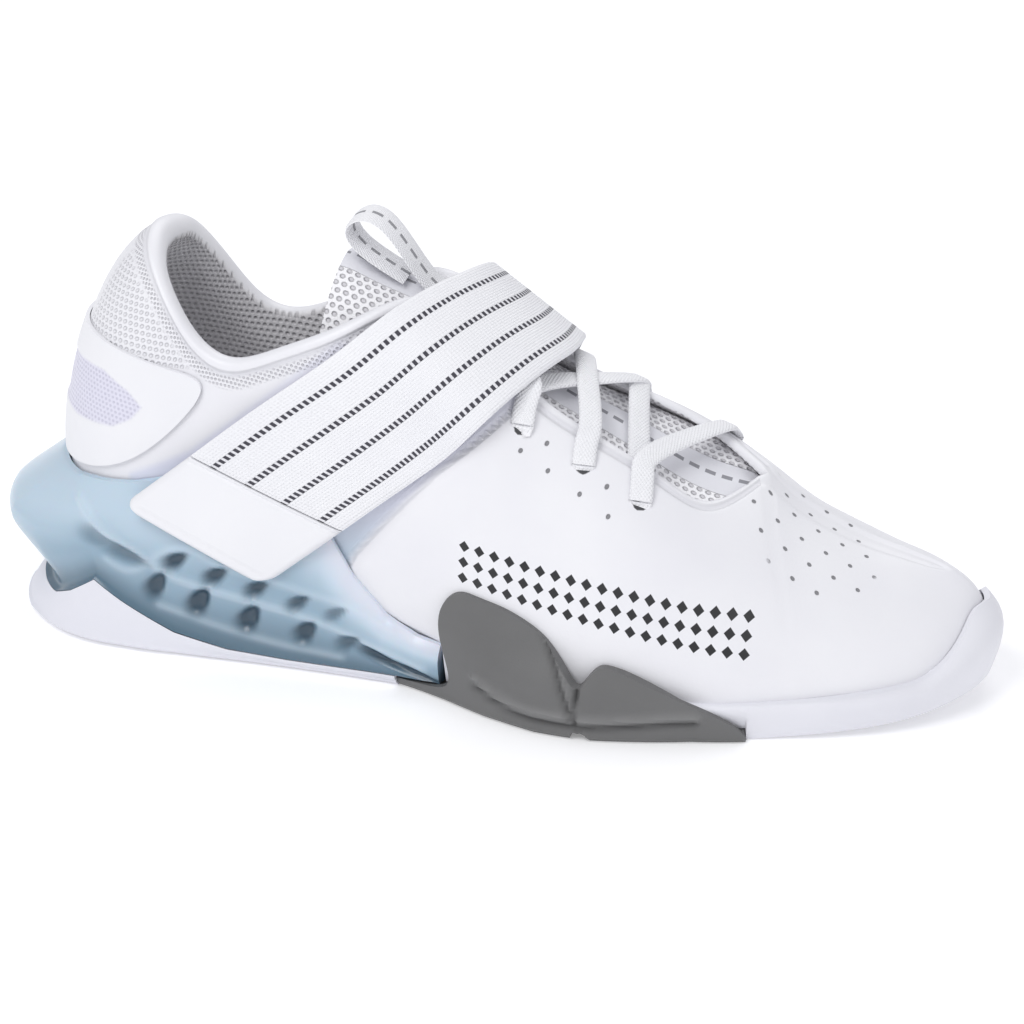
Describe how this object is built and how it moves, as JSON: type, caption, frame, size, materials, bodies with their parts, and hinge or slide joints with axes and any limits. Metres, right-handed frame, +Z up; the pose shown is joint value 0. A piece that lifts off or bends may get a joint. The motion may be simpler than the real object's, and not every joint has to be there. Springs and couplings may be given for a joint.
{
  "type": "weightlifting shoe",
  "caption": "Low weightlifting shoe with a flared raised heel, a webbing strap over the instep, flat laces and a padded tongue with a pull loop.",
  "frame": {"origin": "on the floor, on the heel plate's flat underside, under the back of the last's heel and on the shoe's length line", "axes": "+X from heel to toe, +Y towards the inner (medial) side, +Z up from the floor"},
  "size_m": [0.302, 0.1091, 0.1328],
  "materials": {
    "upper_synthetic": "smooth synthetic, slightly glossy",
    "midsole_translucent": "translucent, satin",
    "rubber_white": "matt",
    "rubber_grey": "matt",
    "insole_foam": "knit over foam",
    "counter_synthetic": "smooth synthetic",
    "strap_webbing": "flat woven",
    "tab_synthetic": "smooth synthetic",
    "tongue_mesh": "open knit mesh",
    "loop_tape": "woven tape",
    "lace_woven": "flat woven"
  },
  "bodies": {
    "root": {"upper": "upper_synthetic", "midsole": "midsole_translucent", "outsole_heel": "rubber_white", "outsole_forefoot": "rubber_white", "side_wrap": "rubber_grey", "insole": "insole_foam", "heel_counter": "counter_synthetic", "strap": "strap_webbing", "strap_tab": "tab_synthetic", "tongue": "tongue_mesh", "pull_loop": "loop_tape", "laces": "lace_woven"}
  },
  "joints": []
}
